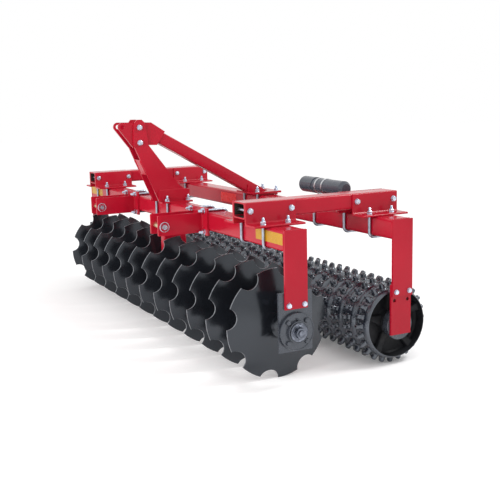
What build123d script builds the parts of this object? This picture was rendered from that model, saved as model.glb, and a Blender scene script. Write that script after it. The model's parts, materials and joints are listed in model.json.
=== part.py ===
"""Mounted disc harrow with one row of notched discs and a spiked rear roller.

Millimetres. +Z is up, -Y points to the tractor and +X is the machine's left side.
z = 0 is the ground, and the origin lies there, under the middle of the machine's box.
Distances "ahead" are measured towards the tractor from the front beam's centreline.
"""

import os
from math import atan2, cos, hypot, pi, sin

from build123d import *

os.makedirs("parts", exist_ok=True)

# Overall sizes
machine_width = 2950.0        # over the outer faces of the end plates
beam_spacing = 612.0          # front beam to rear beam, centre to centre

# Beams: rectangular hollow section
beam_width = 120.0            # along Y
beam_height = 100.0           # along Z
beam_wall = 8.0
beam_corner = 14.0
beam_above_axle = 429.0       # beam centre above the disc axle

# Fits
slip_fit = 0.3                # gap between a shaft or bar and what it passes through
running_gap = 6.0             # between turning and fixed faces
plate_thickness = 12.0
bolt_hole_radius = 9.0

# Discs: a flat middle and a shallow cone, cut in flats round the axle
disc_radius = 275.0
disc_count = 12
disc_end_room = 47.0          # from the machine's end to the disc row's first half pitch
disc_thickness = 6.0
disc_dish = 40.0              # depth of the cone from hub plane to rim plane
disc_flat_radius = 78.0       # flat middle that the spools clamp
disc_sides = 24
notch_count = 8
notch_sides = 10
notch_radius = 53.5
notch_centre_radius = 284.5
notch_phase = 258.7           # degrees from +Y towards +Z, centre of one notch

# Disc axle: a square bar with round journals and a nut at each end
axle_bar = 32.0
end_journal_radius = 45.0
middle_journal_radius = 30.0
axle_nut_across_flats = 46.0
axle_nut_thickness = 20.0
axle_tip = 8.0                # axle past its nut
axle_tip_radius = 15.0

# Spools between the discs
spool_flange_radius = 62.0
spool_waist_radius = 36.0
spool_flange_width = 14.0
spool_sides = 10

# Front end plates, bolted bearing plates and bearing housings
front_plate_drop = 370.0      # below the beam's top face
front_bolt_spacing = 84.0
front_bolt_rise = 19.0        # bolts above the end plate's lower edge
bearing_plate_width = 180.0
bearing_plate_below = 97.0    # below the axle
bearing_plate_lap = 80.0      # how far it reaches up behind the end plate
gang_housing_radius = 88.0
gang_housing_thickness = 14.0
gang_collar_radius = 54.0
gang_collar_length = 26.0

# Middle hanger of the disc axle
hanger_width = 60.0           # along X
hanger_depth = 150.0          # along Y
hanger_wall = 8.0
hanger_corner = 12.0
middle_housing_radius = 58.0
middle_housing_width = 44.0
middle_foot_thickness = 14.0
middle_neck_width = 82.0
middle_foot_lift = 40.0       # foot's top above the housing

# Rear end plates and roller plates
rear_plate_drop = 388.0
roller_plate_below = 46.0     # below the roller's axle
roller_plate_lap = 62.0       # how far it reaches up behind the end plate
roller_bolt_spacing = 80.0
roller_bolt_rise = 25.0       # bolts above the end plate's lower edge
roller_spare_drop = 46.0      # second row of holes below the bolts

# Roller: rings threaded on a square bar, each with one row of spikes round its middle
roller_rim_radius = 184.0
spike_height = 30.0
spike_count = 24
spike_row_width = 36.0        # along the axle
ring_count = 25
ring_gap = 2.0
roller_end_gap = 22.0         # end ring to roller plate
roller_bar = 60.0
roller_journal_radius = 28.0
ring_rim_thickness = 15.0
ring_hub_radius = 74.0
ring_recess = 62.0            # depth of the open outer side of each end ring
roller_housing_radius = 76.0
roller_housing_length = 40.0

# Rails that tie the beams together
rail_width = 120.0
rail_height = 80.0
rail_wall = 7.0
rail_corner = 12.0
rail_inset = 299.0            # rail's centreline from the machine's end
rail_overhang = 138.0         # past each beam's centreline
rail_lift = 32.0              # rail's underside above the beam's top face
angle_thickness = 10.0
rail_angle_reach = 180.0      # flange edge from the rail's centreline

# Lower hitch clevises
hitch_half_spacing = 540.0
clevis_gap = 96.0             # between the cheeks
cheek_thickness = 12.0
cheek_height = 110.0
cheek_drop = 8.0              # cheek centre below the beam's centre
cheek_ahead = 343.0
cheek_corner = 14.0
clevis_flange_width = 244.0
clevis_flange_height = 150.0
lower_pin_radius = 14.0
lower_pin_ahead = 303.0
lower_pin_drop = 12.0         # below the beam's centre
lower_pin_head_radius = 22.0
lower_pin_head_thickness = 10.0
lower_pin_tail = 30.0         # past the outer cheek, where its ring goes

# Mast, head plates and brace
top_link_ahead = 312.0
top_link_z = 1212.0
top_link_radius = 12.75
ear_radius = 26.0
mast_plate_thickness = 12.0
mast_bolt_radius = 10.0
mast_bolt_behind = 100.0      # bolts behind the top link
mast_bolt_drops = (5.0, 94.0)  # and below it
mast_foot_ahead = 104.0
mast_foot_behind = 60.0       # behind the front beam's centreline
mast_knee_behind = 18.0       # where the rear edge starts up from its foot
mast_knee_rise = 112.0
mast_elbow_ahead = 253.0      # where the front edge turns upright
mast_elbow_drop = 105.0       # below the top link
cross_plate_width = 90.0      # height of the plate between the mast plates
cross_plate_rise = 172.0      # its lower edge above the beam
mast_angle_height = 75.0
mast_angle_reach = 116.0      # flange edge from the machine's middle
mast_angle_ahead = 112.0
mast_angle_behind = 88.0
brace_width = 70.0
brace_depth = 70.0
brace_wall = 6.0
brace_corner = 10.0
brace_head_behind = 202.0     # brace's upper end behind the top link
brace_head_drop = 48.5
brace_foot_ahead = 45.0       # its foot ahead of the rear beam's centreline
foot_angle_length = 226.0
foot_angle_height = 62.0

# Document canister over the rear beam
canister_radius = 42.0
canister_wall = 4.0
canister_length = 345.0
canister_rail_gap = 131.0     # its outer end from the rail
canister_dome = 20.0
canister_dome_taper = 35.0    # degrees
canister_lift = 107.0         # centre above the beam's top face
cap_radius = 45.5
cap_length = 124.0
cap_lap = 50.0
clamp_width = 12.0
clamp_thickness = 3.0
clamp_distances = (90.0, 157.0)
saddle_width = 40.0

# Places that follow from the sizes above
half_width = machine_width / 2
beam_z = disc_radius + beam_above_axle
beam_top = beam_z + beam_height / 2
beam_bottom = beam_z - beam_height / 2
beam_length = machine_width - 2 * plate_thickness
roller_radius = roller_rim_radius + spike_height
front_reach = max(top_link_ahead + ear_radius, cheek_ahead)
rear_reach = beam_spacing + roller_radius
front_y = (front_reach - rear_reach) / 2
rear_y = front_y + beam_spacing
axle_z = disc_radius
roller_z = roller_radius
inner_face = half_width - plate_thickness
hung_face = inner_face - plate_thickness
front_bolt_z = beam_top - front_plate_drop + front_bolt_rise
roller_bolt_z = beam_top - rear_plate_drop + roller_bolt_rise
rail_x = half_width - rail_inset
rail_bottom = beam_top + rail_lift
rail_top = rail_bottom + rail_height
brace_half = brace_width / 2
head_outer = brace_half + mast_plate_thickness
mast_outer = head_outer + mast_plate_thickness
top_link_y = front_y - top_link_ahead


def hollow_section(width, height, wall, corner):
    """Rounded rectangular hollow section, drawn in the open sketch."""
    RectangleRounded(width, height, corner)
    RectangleRounded(width - 2 * wall, height - 2 * wall, corner - wall / 2, mode=Mode.SUBTRACT)


def save(part, label):
    part.label = label
    export_step(part, f"parts/{label}.step")


# Front and rear beams
for label, y in (("front_beam", front_y), ("rear_beam", rear_y)):
    with BuildPart() as beam:
        with BuildSketch(Plane.YZ.offset(-beam_length / 2)):
            with Locations((y, beam_z)):
                hollow_section(beam_width, beam_height, beam_wall, beam_corner)
        extrude(amount=beam_length)
    save(beam.part, label)

# End plates that close the beams and reach down to the plates bolted behind them
end_plates = (
    # label, y, drop below the beam's top, bolt spacing, bolt height
    ("front_end_plates", front_y, front_plate_drop, front_bolt_spacing, front_bolt_z),
    ("rear_end_plates", rear_y, rear_plate_drop, roller_bolt_spacing, roller_bolt_z),
)
for label, y, drop, spacing, bolt_z in end_plates:
    with BuildPart() as plates:
        for x in (-half_width, inner_face):
            with BuildSketch(Plane.YZ.offset(x)):
                with Locations((y, beam_top - drop / 2)):
                    Rectangle(beam_width, drop)
                with Locations((y - spacing / 2, bolt_z), (y + spacing / 2, bolt_z)):
                    Circle(bolt_hole_radius, mode=Mode.SUBTRACT)
            extrude(amount=plate_thickness)
    save(plates.part, label)

# Bearing plates of the disc axle, bolted inside the front end plates
bearing_plate_top = beam_top - front_plate_drop + bearing_plate_lap
bearing_plate_bottom = axle_z - bearing_plate_below
with BuildPart() as gang_bearing_plates:
    for x in (-inner_face, hung_face):
        with BuildSketch(Plane.YZ.offset(x)):
            with Locations((front_y, (bearing_plate_top + bearing_plate_bottom) / 2)):
                Rectangle(bearing_plate_width, bearing_plate_top - bearing_plate_bottom)
            with Locations((front_y, axle_z)):
                Circle(gang_collar_radius, mode=Mode.SUBTRACT)
            for side in (-1, 1):
                with Locations((front_y + side * front_bolt_spacing / 2, front_bolt_z)):
                    Circle(bolt_hole_radius, mode=Mode.SUBTRACT)
        extrude(amount=plate_thickness)
save(gang_bearing_plates.part, "gang_bearing_plates")

# Flanged bearing housings on the outer faces of the bearing plates
with BuildPart() as gang_housings:
    for side in (-1, 1):
        outward = Plane((side * inner_face, front_y, axle_z), x_dir=(0, 1, 0), z_dir=(side, 0, 0))
        with BuildSketch(outward):
            Circle(gang_housing_radius)
        extrude(amount=gang_housing_thickness)
        with BuildSketch(outward):
            Circle(gang_collar_radius)
        extrude(amount=gang_collar_length)
        with BuildSketch(outward):
            Circle(end_journal_radius + slip_fit)
        extrude(amount=gang_collar_length, mode=Mode.SUBTRACT)
save(gang_housings.part, "gang_bearing_housings")

# Disc axle
journal_end = inner_face + gang_collar_length + running_gap
spool_end = hung_face - running_gap
middle_face = middle_housing_width / 2 + running_gap
axle_end = journal_end + axle_nut_thickness + axle_tip
axle_line = Plane((0, front_y, axle_z), x_dir=(0, 1, 0), z_dir=(1, 0, 0))
with BuildPart() as disc_axle:
    with BuildSketch(axle_line):
        Rectangle(axle_bar, axle_bar)
    extrude(amount=spool_end, both=True)
    with BuildSketch(axle_line):
        Circle(middle_journal_radius)
    extrude(amount=middle_face, both=True)
    for side in (-1, 1):
        with BuildSketch(axle_line.offset(side * spool_end)):
            Circle(end_journal_radius)
        extrude(amount=side * (journal_end - spool_end))
        with BuildSketch(axle_line.offset(side * journal_end)):
            RegularPolygon(axle_nut_across_flats / 2, 6, major_radius=False)
        extrude(amount=side * axle_nut_thickness)
        with BuildSketch(axle_line.offset(side * (axle_end - axle_tip))):
            Circle(axle_tip_radius)
        extrude(amount=side * axle_tip)
save(disc_axle.part, "disc_axle")

# One notched disc at the origin, its hollow side facing -X and a corner at its lowest point
hub_level = -disc_thickness / 2
rim_level = disc_dish - disc_thickness / 2
with BuildPart() as disc_form:
    with BuildSketch(Plane.YZ.offset(-rim_level - disc_thickness)):
        RegularPolygon(disc_radius, disc_sides, rotation=-90)
    extrude(amount=disc_thickness)
    with BuildSketch(Plane.YZ.offset(-rim_level)):
        RegularPolygon(disc_radius, disc_sides, rotation=-90)
    with BuildSketch(Plane.YZ.offset(-hub_level)):
        RegularPolygon(disc_flat_radius, disc_sides, rotation=-90)
    loft(ruled=True)
    with BuildSketch(Plane.YZ.offset(-rim_level - disc_thickness)):
        RegularPolygon(disc_radius, disc_sides, rotation=-90)
    with BuildSketch(Plane.YZ.offset(-hub_level - disc_thickness)):
        RegularPolygon(disc_flat_radius, disc_sides, rotation=-90)
    loft(ruled=True, mode=Mode.SUBTRACT)
    with BuildSketch(Plane.YZ):
        Rectangle(axle_bar + 2 * slip_fit, axle_bar + 2 * slip_fit)
        with PolarLocations(notch_centre_radius, notch_count, start_angle=notch_phase):
            RegularPolygon(notch_radius, notch_sides)
    extrude(amount=2 * disc_dish, both=True, mode=Mode.SUBTRACT)

disc_pitch = (machine_width - 2 * disc_end_room) / disc_count
hub_planes = [(i - (disc_count - 1) / 2) * disc_pitch + disc_dish / 2 for i in range(disc_count)]
with BuildPart() as discs:
    with Locations(*[(x, front_y, axle_z) for x in hub_planes]):
        add(disc_form.part)
save(discs.part, "discs")

# Spools: one between each two discs, cut short at the middle and end bearings
half_disc = disc_thickness / 2
spool_spans = []
for left, right in zip(hub_planes[:-1], hub_planes[1:]):
    if left < 0 < right:
        spool_spans.append((left + half_disc, -middle_face))
        spool_spans.append((middle_face, right - half_disc))
    else:
        spool_spans.append((left + half_disc, right - half_disc))
spool_spans.insert(0, (-spool_end, hub_planes[0] - half_disc))
spool_spans.append((hub_planes[-1] + half_disc, spool_end))
with BuildPart() as spools:
    for start, stop in spool_spans:
        sections = (
            # x, radius
            (start, spool_flange_radius),
            (start + spool_flange_width, spool_waist_radius),
            (stop - spool_flange_width, spool_waist_radius),
            (stop, spool_flange_radius),
        )
        for near, far in zip(sections[:-1], sections[1:]):
            for x, radius in (near, far):
                with BuildSketch(axle_line.offset(x)):
                    RegularPolygon(radius, spool_sides)
                    Rectangle(axle_bar + 2 * slip_fit, axle_bar + 2 * slip_fit, mode=Mode.SUBTRACT)
            loft(ruled=True)
save(spools.part, "spools")

# Middle hanger: a flat box section from the beam's underside
middle_foot_top = axle_z + middle_housing_radius + middle_foot_lift
with BuildPart() as middle_hanger:
    with BuildSketch(Plane.XY.offset(middle_foot_top)):
        with Locations((0, front_y)):
            hollow_section(hanger_width, hanger_depth, hanger_wall, hanger_corner)
    extrude(amount=beam_bottom - middle_foot_top)
save(middle_hanger.part, "middle_hanger")

# Middle bearing: a foot bolted under the hanger, a neck and a round housing
with BuildPart() as middle_bearing:
    with BuildSketch(Plane.YZ.offset(-middle_housing_width / 2)):
        with Locations((front_y, axle_z)):
            Circle(middle_housing_radius)
        with Locations((front_y, (axle_z + middle_foot_top) / 2)):
            Rectangle(middle_neck_width, middle_foot_top - axle_z)
        with Locations((front_y, middle_foot_top - middle_foot_thickness / 2)):
            Rectangle(hanger_depth, middle_foot_thickness)
        with Locations((front_y, axle_z)):
            Circle(middle_journal_radius + slip_fit, mode=Mode.SUBTRACT)
    extrude(amount=middle_housing_width)
save(middle_bearing.part, "middle_bearing")

# Roller plates, bolted inside the rear end plates, with a spare row of holes
roller_plate_top = beam_top - rear_plate_drop + roller_plate_lap
roller_plate_bottom = roller_z - roller_plate_below
with BuildPart() as roller_plates:
    for x in (-inner_face, hung_face):
        with BuildSketch(Plane.YZ.offset(x)):
            with Locations((rear_y, (roller_plate_top + roller_plate_bottom) / 2)):
                Rectangle(beam_width, roller_plate_top - roller_plate_bottom)
            for hole_z in (roller_bolt_z, roller_bolt_z - roller_spare_drop):
                for side in (-1, 1):
                    with Locations((rear_y + side * roller_bolt_spacing / 2, hole_z)):
                        Circle(bolt_hole_radius, mode=Mode.SUBTRACT)
        extrude(amount=plate_thickness)
save(roller_plates.part, "roller_plates")

# Roller bar, its journals and its bearings
hub_face = hung_face - roller_housing_length - running_gap
roller_line = Plane((0, rear_y, roller_z), x_dir=(0, 1, 0), z_dir=(1, 0, 0))
with BuildPart() as roller_axle:
    with BuildSketch(roller_line):
        Rectangle(roller_bar, roller_bar)
    extrude(amount=hub_face, both=True)
    for side in (-1, 1):
        with BuildSketch(roller_line.offset(side * hub_face)):
            Circle(roller_journal_radius)
        extrude(amount=side * roller_housing_length)
save(roller_axle.part, "roller_axle")

with BuildPart() as roller_bearings:
    for side in (-1, 1):
        inward = Plane((side * hung_face, rear_y, roller_z), x_dir=(0, 1, 0), z_dir=(-side, 0, 0))
        with BuildSketch(inward):
            Circle(roller_housing_radius)
            Circle(roller_journal_radius + slip_fit, mode=Mode.SUBTRACT)
        extrude(amount=roller_housing_length)
save(roller_bearings.part, "roller_bearings")

# Two ring forms at the origin: a spike stands lowest on one, a gap on the other
ring_end = hung_face - roller_end_gap
ring_pitch = 2 * ring_end / ring_count
ring_width = ring_pitch - ring_gap
spike_angle = 2 * pi / spike_count
ring_forms = []
for turn in (0, spike_angle / 2):
    corners = []
    for i in range(spike_count):
        tip = i * spike_angle + turn - pi / 2
        valley = tip + spike_angle / 2
        corners.append((roller_radius * cos(tip), roller_radius * sin(tip)))
        corners.append((roller_rim_radius * cos(valley), roller_rim_radius * sin(valley)))
    with BuildPart() as ring_form:
        with BuildSketch(Plane.YZ):
            with BuildLine():
                Polyline(*corners[1::2], close=True)
            make_face()
        extrude(amount=ring_width / 2, both=True)
        with BuildSketch(Plane.YZ):
            with BuildLine():
                Polyline(*corners, close=True)
            make_face()
        extrude(amount=spike_row_width / 2, both=True)
        with BuildSketch(Plane.YZ):
            Rectangle(roller_bar + 2 * slip_fit, roller_bar + 2 * slip_fit)
        extrude(amount=ring_width, both=True, mode=Mode.SUBTRACT)
    ring_forms.append(ring_form.part)

# Inner rings, turned half a spike from one to the next
ring_places = [(i + 0.5) * ring_pitch - ring_end for i in range(ring_count)]
with BuildPart() as roller_rings:
    for i in range(1, ring_count - 1):
        with Locations((ring_places[i], rear_y, roller_z)):
            add(ring_forms[i % 2])
save(roller_rings.part, "roller_rings")

# End rings, whose outer side is open around the hub
rim_inner_radius = roller_rim_radius - ring_rim_thickness
ring_face = ring_end - ring_gap / 2
with BuildPart() as roller_end_rings:
    with Locations((ring_places[0], rear_y, roller_z), (ring_places[-1], rear_y, roller_z)):
        add(ring_forms[0])
    for side in (-1, 1):
        inward = Plane((side * ring_face, rear_y, roller_z), x_dir=(0, 1, 0), z_dir=(-side, 0, 0))
        with BuildSketch(inward):
            RegularPolygon(rim_inner_radius, spike_count, rotation=180 / spike_count)
        extrude(amount=ring_face - hub_face, mode=Mode.SUBTRACT)
        with BuildSketch(inward):
            RegularPolygon(rim_inner_radius, spike_count, rotation=180 / spike_count)
            Circle(ring_hub_radius, mode=Mode.SUBTRACT)
        extrude(amount=ring_recess, mode=Mode.SUBTRACT)
save(roller_end_rings.part, "roller_end_rings")

# Rails over the beams
rail_length = beam_spacing + 2 * rail_overhang
with BuildPart() as rails:
    for side in (-1, 1):
        with BuildSketch(Plane.XZ.offset(-(front_y - rail_overhang))):
            with Locations((side * rail_x, rail_bottom + rail_height / 2)):
                hollow_section(rail_width, rail_height, rail_wall, rail_corner)
        extrude(amount=-rail_length)
save(rails.part, "rails")

# Angles that carry the rails: two on each rail at each beam
rail_angle_length = 2 * rail_overhang
with BuildPart() as rail_angles:
    for y in (front_y, rear_y):
        for middle in (-rail_x, rail_x):
            for side in (-1, 1):
                root = middle + side * rail_width / 2
                toe = middle + side * rail_angle_reach
                with BuildSketch(Plane.XZ.offset(-(y - rail_overhang))):
                    with BuildLine():
                        Polyline(
                            (root, beam_top),
                            (toe, beam_top),
                            (toe, beam_top + angle_thickness),
                            (root + side * angle_thickness, beam_top + angle_thickness),
                            (root + side * angle_thickness, rail_top),
                            (root, rail_top),
                            close=True,
                        )
                    make_face()
                extrude(amount=-rail_angle_length)
save(rail_angles.part, "rail_angles")

# Lower hitch: flanges against the front beam, two cheeks on each and a pin
flange_face = front_y - beam_width / 2
with BuildPart() as clevis_flanges:
    for x in (-hitch_half_spacing, hitch_half_spacing):
        with BuildSketch(Plane.XZ.offset(-flange_face)):
            with Locations((x, beam_z)):
                Rectangle(clevis_flange_width, clevis_flange_height)
        extrude(amount=plate_thickness)
save(clevis_flanges.part, "clevis_flanges")

cheek_root = flange_face - plate_thickness
cheek_tip = front_y - cheek_ahead
cheek_z = beam_z - cheek_drop
pin_y = front_y - lower_pin_ahead
pin_z = beam_z - lower_pin_drop
with BuildPart() as clevis_cheeks:
    for x in (-hitch_half_spacing, hitch_half_spacing):
        for start in (x - clevis_gap / 2 - cheek_thickness, x + clevis_gap / 2):
            with BuildSketch(Plane.YZ.offset(start)) as cheek:
                with Locations(((cheek_root + cheek_tip) / 2, cheek_z)):
                    Rectangle(cheek_root - cheek_tip, cheek_height)
                chamfer(cheek.vertices().group_by(Axis.X)[0], cheek_corner)
                with Locations((pin_y, pin_z)):
                    Circle(lower_pin_radius + slip_fit, mode=Mode.SUBTRACT)
            extrude(amount=cheek_thickness)
save(clevis_cheeks.part, "clevis_cheeks")

clevis_half = clevis_gap / 2 + cheek_thickness
with BuildPart() as lower_pins:
    for x in (-hitch_half_spacing, hitch_half_spacing):
        with BuildSketch(Plane.YZ.offset(x - clevis_half - lower_pin_head_thickness)):
            with Locations((pin_y, pin_z)):
                Circle(lower_pin_head_radius)
        extrude(amount=lower_pin_head_thickness)
        with BuildSketch(Plane.YZ.offset(x - clevis_half)):
            with Locations((pin_y, pin_z)):
                Circle(lower_pin_radius)
        extrude(amount=2 * clevis_half + lower_pin_tail)
save(lower_pins.part, "lower_pins")

# Brace: box section from the mast's head down to the rear beam
brace_head = (top_link_y + brace_head_behind, top_link_z - brace_head_drop)
brace_foot = (rear_y - brace_foot_ahead, beam_top)
brace_run = brace_foot[0] - brace_head[0]
brace_fall = brace_head[1] - brace_foot[1]
brace_slope = atan2(brace_fall, brace_run)
with BuildPart() as brace:
    brace_plane = Plane(
        (0, *brace_head),
        x_dir=(1, 0, 0),
        z_dir=(0, cos(brace_slope), -sin(brace_slope)),
    )
    with BuildSketch(brace_plane):
        hollow_section(brace_width, brace_depth, brace_wall, brace_corner)
    extrude(amount=hypot(brace_run, brace_fall) + brace_depth)
    split(bisect_by=Plane.XY.offset(beam_top), keep=Keep.TOP)
save(brace.part, "brace")

# Head plates: top link ears in front, brace side plates behind
head_points = (
    # distance ahead of the top link, rise above it
    (20.7, -15.7),
    (-60.0, -122.0),
    (-159.0, -110.0),
    (-210.0, -112.0),
    (-264.0, -34.0),
    (-178.0, 22.0),
    (0.0, ear_radius),
)
bolt_y = top_link_y + mast_bolt_behind
with BuildPart() as head_plates:
    for start in (-head_outer, brace_half):
        with BuildSketch(Plane.YZ.offset(start)):
            with BuildLine():
                Polyline(*[(top_link_y - ahead, top_link_z + rise) for ahead, rise in head_points], close=True)
            make_face()
            with Locations((top_link_y, top_link_z)):
                Circle(ear_radius)
                Circle(top_link_radius, mode=Mode.SUBTRACT)
            for drop in mast_bolt_drops:
                with Locations((bolt_y, top_link_z - drop)):
                    Circle(mast_bolt_radius, mode=Mode.SUBTRACT)
        extrude(amount=mast_plate_thickness)
save(head_plates.part, "head_plates")

# Mast plates: wide at the beam, narrow at the head
mast_head_points = (
    # distance ahead of the top link, rise above it
    (-65.0, 13.0),
    (-86.0, 40.0),
    (-116.0, 40.0),
    (-136.0, 20.0),
    (-152.0, -109.0),
)
mast_front = (front_y - mast_foot_ahead, beam_top)
mast_elbow = (front_y - mast_elbow_ahead, top_link_z - mast_elbow_drop)
mast_points = [mast_front, mast_elbow]
mast_points += [(top_link_y - ahead, top_link_z + rise) for ahead, rise in mast_head_points]
mast_points += [
    (front_y + mast_knee_behind, beam_top + mast_knee_rise),
    (front_y + mast_foot_behind, beam_top + mast_angle_height),
    (front_y + mast_foot_behind, beam_top),
]
with BuildPart() as mast_plates:
    for start in (-mast_outer, head_outer):
        with BuildSketch(Plane.YZ.offset(start)):
            with BuildLine():
                Polyline(*mast_points, close=True)
            make_face()
            for drop in mast_bolt_drops:
                with Locations((bolt_y, top_link_z - drop)):
                    Circle(mast_bolt_radius, mode=Mode.SUBTRACT)
        extrude(amount=mast_plate_thickness)
save(mast_plates.part, "mast_plates")

# Cross plate between the front edges of the mast plates
lean = (mast_front[0] - mast_elbow[0]) / (mast_elbow[1] - beam_top)
cross_low = (mast_front[0] - lean * cross_plate_rise, beam_top + cross_plate_rise)
cross_high = (cross_low[0] - lean * cross_plate_width, cross_low[1] + cross_plate_width)
with BuildPart() as mast_cross_plate:
    with BuildSketch(Plane.YZ.offset(-head_outer)):
        with BuildLine():
            Polyline(
                cross_low,
                cross_high,
                (cross_high[0] + plate_thickness, cross_high[1]),
                (cross_low[0] + plate_thickness, cross_low[1]),
                close=True,
            )
        make_face()
    extrude(amount=2 * head_outer)
save(mast_cross_plate.part, "mast_cross_plate")

# Angles that seat the mast on the front beam and the brace on the rear beam
seat_angles = (
    # label, distance of the upright from the middle, front end, length, height
    ("mast_angles", mast_outer, front_y - mast_angle_ahead, mast_angle_ahead + mast_angle_behind, mast_angle_height),
    ("brace_angles", brace_half, rear_y - foot_angle_length / 2, foot_angle_length, foot_angle_height),
)
for label, upright, start, length, height in seat_angles:
    with BuildPart() as angles:
        for side in (-1, 1):
            root = side * upright
            toe = side * mast_angle_reach
            with BuildSketch(Plane.XZ.offset(-start)):
                with BuildLine():
                    Polyline(
                        (root, beam_top),
                        (toe, beam_top),
                        (toe, beam_top + angle_thickness),
                        (root + side * angle_thickness, beam_top + angle_thickness),
                        (root + side * angle_thickness, beam_top + height),
                        (root, beam_top + height),
                        close=True,
                    )
                make_face()
            extrude(amount=-length)
    save(angles.part, label)

# Document canister, its cap and its two clamps
canister_z = beam_top + canister_lift
canister_outer = rail_x - rail_width / 2 - canister_rail_gap
canister_inner = canister_outer - canister_length
with BuildPart() as canister:
    with BuildSketch(Plane.YZ.offset(canister_inner)):
        with Locations((rear_y, canister_z)):
            Circle(canister_radius)
            Circle(canister_radius - canister_wall, mode=Mode.SUBTRACT)
    extrude(amount=canister_length - canister_dome)
    with BuildSketch(Plane.YZ.offset(canister_outer - canister_dome)):
        with Locations((rear_y, canister_z)):
            Circle(canister_radius)
    extrude(amount=canister_dome, taper=canister_dome_taper)
save(canister.part, "document_canister")

with BuildPart() as canister_cap:
    with BuildSketch(Plane.YZ.offset(canister_inner + cap_lap - cap_length)):
        with Locations((rear_y, canister_z)):
            Circle(cap_radius)
    extrude(amount=cap_length)
    with BuildSketch(Plane.YZ.offset(canister_inner)):
        with Locations((rear_y, canister_z)):
            Circle(canister_radius + slip_fit)
    extrude(amount=cap_lap, mode=Mode.SUBTRACT)
save(canister_cap.part, "canister_cap")

with BuildPart() as canister_clamps:
    for distance in clamp_distances:
        with BuildSketch(Plane.YZ.offset(canister_inner + distance - clamp_width / 2)):
            with Locations((rear_y, canister_z)):
                Circle(canister_radius + slip_fit + clamp_thickness)
            with Locations((rear_y, (beam_top + canister_z) / 2)):
                Rectangle(saddle_width, canister_z - beam_top)
            with Locations((rear_y, canister_z)):
                Circle(canister_radius + slip_fit, mode=Mode.SUBTRACT)
        extrude(amount=clamp_width)
save(canister_clamps.part, "canister_clamps")
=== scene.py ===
import json
import math

import bmesh
import bpy
from mathutils import Matrix, Vector


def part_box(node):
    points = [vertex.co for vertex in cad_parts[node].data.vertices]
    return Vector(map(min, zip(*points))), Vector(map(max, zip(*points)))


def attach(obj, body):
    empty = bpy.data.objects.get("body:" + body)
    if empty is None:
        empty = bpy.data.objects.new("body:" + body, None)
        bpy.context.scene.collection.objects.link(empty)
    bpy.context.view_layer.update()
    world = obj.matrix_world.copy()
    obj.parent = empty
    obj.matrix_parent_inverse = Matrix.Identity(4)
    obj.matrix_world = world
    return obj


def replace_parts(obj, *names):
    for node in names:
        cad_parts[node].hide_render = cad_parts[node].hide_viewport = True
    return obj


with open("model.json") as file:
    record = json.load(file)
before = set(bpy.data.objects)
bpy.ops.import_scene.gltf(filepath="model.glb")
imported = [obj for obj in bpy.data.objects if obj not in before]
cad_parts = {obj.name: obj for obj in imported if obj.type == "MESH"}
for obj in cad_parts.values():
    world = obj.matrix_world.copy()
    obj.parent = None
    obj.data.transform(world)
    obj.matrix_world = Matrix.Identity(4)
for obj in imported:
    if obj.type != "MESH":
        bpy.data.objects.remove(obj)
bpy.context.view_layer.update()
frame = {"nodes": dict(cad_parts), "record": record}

scene = bpy.context.scene
SIDES = (-1, 1)

# Sizes shared with the solids, in metres
DISC_COUNT = 12
DISC_RADIUS = 0.275
DISC_THICKNESS = 0.006
DISC_DISH = 0.040      # depth of a disc's dish
DISC_FLAT = 0.078      # radius of a disc's flat middle
NOTCH_COUNT = 8
NOTCH_RADIUS = 0.0535
NOTCH_CENTRE = 0.2845  # a notch's centre, from the axle
NOTCH_PHASE = math.radians(258.7)
RING_COUNT = 25
RING_GAP = 0.002       # between two of the roller's rings
RING_HUB = 0.074       # radius of an end ring's hub
RING_RECESS = 0.062    # depth of an end ring's open side
RIM_RADIUS = 0.184
RIM_INNER = 0.169
SPIKE_COUNT = 24
SPIKE_TIP = 0.214      # radius over the spikes
RAIL_HALF = 0.060      # half of a rail's width
FLANGE = 0.010         # thickness of the angles' flanges
CLEVIS_HALF = 0.122    # half of a clevis flange's width
CHEEK_GAP = 0.048      # half of the gap in a clevis

# Sizes of the fasteners, in metres
ROD = 0.008     # radius of a U-bolt's rod
BEND = 0.024    # radius of a U-bolt's bends
WASHER = 0.003  # thickness of a washer


def mid(name):
    """Middle of a node's box."""
    low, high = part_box(name)
    return (Vector(low) + Vector(high)) / 2


# Places read from the frame, in metres
FRONT_Y = mid("front_beam").y
REAR_Y = mid("rear_beam").y
BEAMS = (FRONT_Y, REAR_Y)
BEAM_BOTTOM, BEAM_TOP = (corner[2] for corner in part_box("front_beam"))
BEAM_Z = (BEAM_BOTTOM + BEAM_TOP) / 2
BEAM_HALF = (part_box("front_beam")[1][1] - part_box("front_beam")[0][1]) / 2
BEAM_END, END_FACE = (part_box(name)[1][0] for name in ("front_beam", "front_end_plates"))
PLATE = END_FACE - BEAM_END   # thickness of the plates and cheeks
HUNG_FACE = BEAM_END - PLATE  # inner side of the plates bolted to the end plates
RAIL_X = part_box("rails")[1][0] - RAIL_HALF
RAILS = (-RAIL_X, RAIL_X)
RAIL_LOW, RAIL_HIGH = (corner[2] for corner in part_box("rails"))
HITCH_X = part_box("clevis_flanges")[1][0] - CLEVIS_HALF
HITCHES = (-HITCH_X, HITCH_X)
MAST_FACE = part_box("mast_plates")[1][0]
TOP_LINK = Vector(next(m["pos_m"] for m in frame["record"]["mounts"] if m["name"] == "top_link_bore"))
LOWER_PIN = mid("lower_pins")
AXLE = mid("disc_axle")
ROLLER = mid("roller_axle")

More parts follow.
